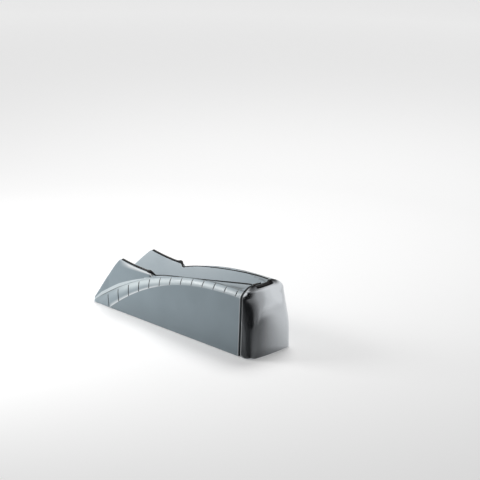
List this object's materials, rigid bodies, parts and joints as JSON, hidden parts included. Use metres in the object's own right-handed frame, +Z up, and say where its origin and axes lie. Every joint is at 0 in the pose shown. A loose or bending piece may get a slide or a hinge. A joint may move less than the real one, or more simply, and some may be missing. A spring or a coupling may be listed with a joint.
{
  "type": "bike trainer front riser block",
  "caption": "Wedge-shaped riser block with a curved, rubber-padded wheel channel between two wings, arched side bands and a rounded end cap behind a rubber seam.",
  "frame": {"origin": "centre of the block's footprint, on the surface that its feet stand on", "axes": "+X along the block from the low toe to the tall end cap, +Y across it, +Z up"},
  "size_m": [0.314, 0.082, 0.0956],
  "materials": {
    "body_plastic": "satin blue-grey moulded plastic",
    "cap_plastic": "glossy dark grey moulded plastic",
    "black_rubber": "matt black rubber",
    "plate_plastic": "matt dark grey plastic with a fine grain",
    "foot_rubber": "matt dark rubber",
    "screw_steel": "zinc-plated steel"
  },
  "bodies": {
    "root": {"body_shell": "body_plastic", "end_cap": "cap_plastic", "seam_seal": "black_rubber", "channel_pad": "black_rubber", "lip_bead_near": "black_rubber", "lip_bead_far": "black_rubber", "base_plate": "plate_plastic", "foot_front_near": "foot_rubber", "foot_front_far": "foot_rubber", "foot_middle_near": "foot_rubber", "foot_middle_far": "foot_rubber", "foot_rear_near": "foot_rubber", "foot_rear_far": "foot_rubber", "base_screw_front_near": "screw_steel", "base_screw_front_far": "screw_steel", "base_screw_middle_near": "screw_steel", "base_screw_middle_far": "screw_steel", "base_screw_rear_near": "screw_steel", "base_screw_rear_far": "screw_steel", "cap_screw_low_near": "screw_steel", "cap_screw_low_far": "screw_steel", "cap_screw_high_near": "screw_steel", "cap_screw_high_far": "screw_steel"}
  },
  "joints": []
}
